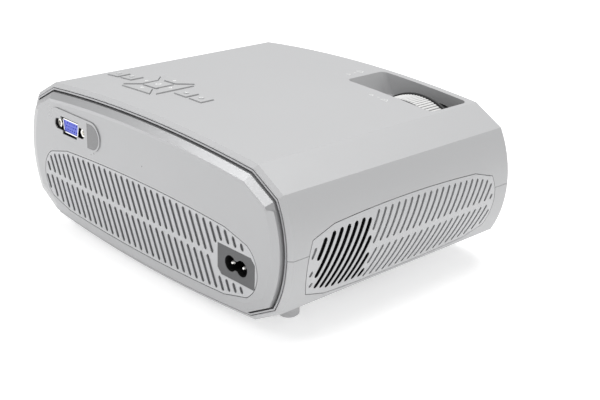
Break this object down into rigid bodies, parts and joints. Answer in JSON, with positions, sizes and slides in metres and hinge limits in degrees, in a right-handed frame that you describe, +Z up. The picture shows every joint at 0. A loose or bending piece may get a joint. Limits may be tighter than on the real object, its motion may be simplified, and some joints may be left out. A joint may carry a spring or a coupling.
{
  "type": "projector with built-in disc player",
  "caption": "Box-shaped home projector with crowned top, slanted-slot grilles, a focus wheel in a well, top arrow keys and a side-loading disc tray.",
  "frame": {"origin": "on the ground under the middle of the body", "axes": "+Z up, -Y the way the lens looks, +X the side the disc tray comes out of"},
  "size_m": [0.235, 0.1808, 0.0975],
  "materials": {
    "shell": "satin silver-grey painted plastic",
    "panel": "satin silver-grey painted plastic",
    "trim": "light satin plastic",
    "grille": "satin silver-grey plastic",
    "key": "satin silver-grey plastic",
    "plated_steel": "zinc-plated sheet and bar",
    "nickel": "bright nickel plate",
    "aluminium": "plain machined",
    "black_plastic": "fine matt black",
    "white_plastic": "white, ribbed",
    "blue_plastic": "blue connector plastic",
    "inlet_plastic": "dark grey moulded plastic",
    "smoke_window": "smoked infrared window",
    "dark_glass": "dark display glass",
    "lens_glass": "clear polished",
    "board": "green circuit board",
    "rubber": "soft black",
    "brass": "turned and threaded"
  },
  "bodies": {
    "casing": {"upper_shell": "shell", "lower_shell": "shell", "rear_panel": "panel", "front_panel": "panel", "rear_trim_ring": "trim", "front_trim_ring": "trim", "rear_grille": "grille", "front_grille": "grille", "exhaust_grille": "grille", "tray_side_panel": "grille", "data_sockets": "plated_steel", "audio_sockets": "black_plastic", "keypad_board": "board", "lens_mount": "black_plastic", "optical_housing": "black_plastic", "light_lenses": "lens_glass", "lcd_panel": "dark_glass", "led_module": "aluminium", "heat_sink": "aluminium", "fan_frame": "black_plastic", "drive_chassis": "plated_steel", "tray_rails": "plated_steel", "mains_inlet": "inlet_plastic", "inlet_pins": "nickel", "vga_shell": "nickel", "vga_insert": "blue_plastic", "vga_standoffs": "nickel", "ir_windows": "smoke_window", "main_board": "board", "rear_board": "board", "power_board": "board", "speakers": "black_plastic", "rubber_feet": "rubber", "tripod_insert": "brass", "case_screws": "plated_steel"},
    "lens_barrel": {"lens_barrel": "black_plastic", "front_lens": "lens_glass", "rear_lens": "lens_glass", "ring_clip": "plated_steel"},
    "focus_wheel": {"focus_wheel": "white_plastic", "wheel_flange": "black_plastic"},
    "fan_rotor": {"fan_rotor": "black_plastic"},
    "disc_tray": {"disc_tray": "black_plastic", "tray_bezel": "grille", "spindle_motor": "plated_steel", "sled_guides": "plated_steel"},
    "spindle_hub": {"spindle_hub": "black_plastic"},
    "lead_screw": {"lead_screw": "plated_steel"},
    "pickup_sled": {"pickup_sled": "black_plastic"},
    "eject_button": {"eject_button": "key"},
    "front_foot": {"front_foot": "black_plastic"},
    "up_button": {"up_button": "key"},
    "down_button": {"down_button": "key"},
    "left_button": {"left_button": "key"},
    "right_button": {"right_button": "key"},
    "ok_button": {"ok_button": "key"},
    "power_button": {"power_button": "key"},
    "source_button": {"source_button": "key"},
    "menu_button": {"menu_button": "key"},
    "back_button": {"back_button": "key"}
  },
  "joints": [
    {"name": "focus_turn", "type": "hinge", "parent": "lens_barrel", "child": "focus_wheel", "pos_m": [-0.067, -0.0542, 0.0567], "axis": [0, -1, 0], "range_deg": [0, 200]},
    {"name": "focus_slide", "type": "slide", "parent": "casing", "child": "lens_barrel", "axis": [0, -1, 0], "range_m": [0, 0.013]},
    {"name": "fan_spin", "type": "hinge", "parent": "casing", "child": "fan_rotor", "pos_m": [-0.1, 0.049, 0.0422], "axis": [1, 0, 0], "continuous": true},
    {"name": "tray_slide", "type": "slide", "parent": "casing", "child": "disc_tray", "axis": [1, 0, 0], "range_m": [0, 0.12]},
    {"name": "spindle_spin", "type": "hinge", "parent": "disc_tray", "child": "spindle_hub", "pos_m": [0.0455, 0, 0.034], "axis": [0, 0, 1], "continuous": true},
    {"name": "screw_turn", "type": "hinge", "parent": "disc_tray", "child": "lead_screw", "pos_m": [0.01, 0.0146, 0.0318], "axis": [-1, 0, 0], "range_deg": [0, 3600]},
    {"name": "sled_slide", "type": "slide", "parent": "disc_tray", "child": "pickup_sled", "axis": [-1, 0, 0], "range_m": [0, 0.03]},
    {"name": "eject_press", "type": "slide", "parent": "disc_tray", "child": "eject_button", "axis": [-1, 0, 0], "range_m": [0, 0.0008], "stiffness_N_per_m": 400},
    {"name": "foot_extend", "type": "slide", "parent": "casing", "child": "front_foot", "axis": [0, 0, -1], "range_m": [0, 0.008]},
    {"name": "up_press", "type": "slide", "parent": "casing", "child": "up_button", "axis": [0, 0, -1], "range_m": [0, 0.0006], "stiffness_N_per_m": 400},
    {"name": "down_press", "type": "slide", "parent": "casing", "child": "down_button", "axis": [0, 0, -1], "range_m": [0, 0.0006], "stiffness_N_per_m": 400},
    {"name": "left_press", "type": "slide", "parent": "casing", "child": "left_button", "axis": [0, 0, -1], "range_m": [0, 0.0006], "stiffness_N_per_m": 400},
    {"name": "right_press", "type": "slide", "parent": "casing", "child": "right_button", "axis": [0, 0, -1], "range_m": [0, 0.0006], "stiffness_N_per_m": 400},
    {"name": "ok_press", "type": "slide", "parent": "casing", "child": "ok_button", "axis": [0, 0, -1], "range_m": [0, 0.0006], "stiffness_N_per_m": 400},
    {"name": "power_press", "type": "slide", "parent": "casing", "child": "power_button", "axis": [0, 0, -1], "range_m": [0, 0.0006], "stiffness_N_per_m": 400},
    {"name": "source_press", "type": "slide", "parent": "casing", "child": "source_button", "axis": [0, 0, -1], "range_m": [0, 0.0006], "stiffness_N_per_m": 400},
    {"name": "menu_press", "type": "slide", "parent": "casing", "child": "menu_button", "axis": [0, 0, -1], "range_m": [0, 0.0006], "stiffness_N_per_m": 400},
    {"name": "back_press", "type": "slide", "parent": "casing", "child": "back_button", "axis": [0, 0, -1], "range_m": [0, 0.0006], "stiffness_N_per_m": 400}
  ],
  "couplings": [
    {"joint": "focus_turn", "follows": "focus_slide", "rad_per_m": 268.51},
    {"joint": "screw_turn", "follows": "sled_slide", "rad_per_m": 2094.4}
  ]
}
